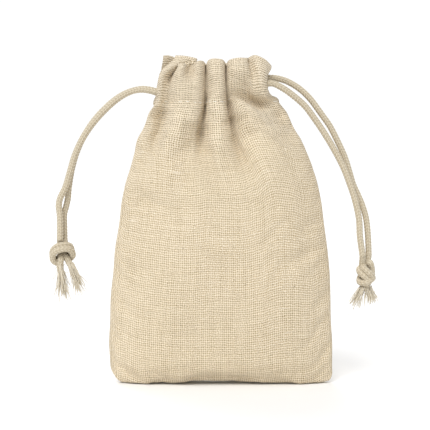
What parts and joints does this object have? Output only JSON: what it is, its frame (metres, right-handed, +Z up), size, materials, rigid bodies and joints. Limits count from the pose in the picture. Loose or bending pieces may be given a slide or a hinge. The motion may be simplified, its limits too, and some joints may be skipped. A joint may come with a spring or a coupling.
{
  "type": "drawstring gift pouch",
  "caption": "Small cloth gift pouch with a gathered neck, closed by cotton cords that leave a casing at both sides and end in knots.",
  "frame": {"origin": "on the floor, under the middle of the pouch without its cords", "axes": "+X to the right seen from the front, +Y from the front panel to the back panel, +Z up towards the mouth"},
  "size_m": [0.1385, 0.0284, 0.1368],
  "materials": {
    "cotton_linen_cloth": "plain weave, undyed, matt",
    "cotton_cord": "round braid, undyed, matt",
    "sewing_thread": "white thread"
  },
  "bodies": {
    "pouch_body": {"front_panel": "cotton_linen_cloth", "back_panel": "cotton_linen_cloth", "left_side_seam": "cotton_linen_cloth", "right_side_seam": "cotton_linen_cloth", "bottom_seam": "cotton_linen_cloth", "front_casing": "cotton_linen_cloth", "back_casing": "cotton_linen_cloth", "front_casing_stitching": "sewing_thread", "back_casing_stitching": "sewing_thread"},
    "left_drawcord": {"left_cord_loop": "cotton_cord", "left_cord_front_tail": "cotton_cord", "left_cord_back_tail": "cotton_cord", "left_knot": "cotton_cord", "left_frayed_end": "cotton_cord", "right_casing_front_end": "cotton_linen_cloth", "right_casing_back_end": "cotton_linen_cloth"},
    "right_drawcord": {"right_cord_loop": "cotton_cord", "right_cord_front_tail": "cotton_cord", "right_cord_back_tail": "cotton_cord", "right_knot": "cotton_cord", "right_frayed_end": "cotton_cord", "left_casing_front_end": "cotton_linen_cloth", "left_casing_back_end": "cotton_linen_cloth"}
  },
  "joints": [
    {"name": "left_cord_pull", "type": "slide", "parent": "pouch_body", "child": "left_drawcord", "axis": [-1, 0, 0], "range_m": [-0.002, 0.004], "deforming": ["front_casing", "back_casing", "front_casing_stitching", "back_casing_stitching"]},
    {"name": "right_cord_pull", "type": "slide", "parent": "pouch_body", "child": "right_drawcord", "axis": [1, 0, 0], "range_m": [-0.002, 0.004]}
  ],
  "couplings": [
    {"joint": "right_cord_pull", "follows": "left_cord_pull", "ratio": 1}
  ]
}
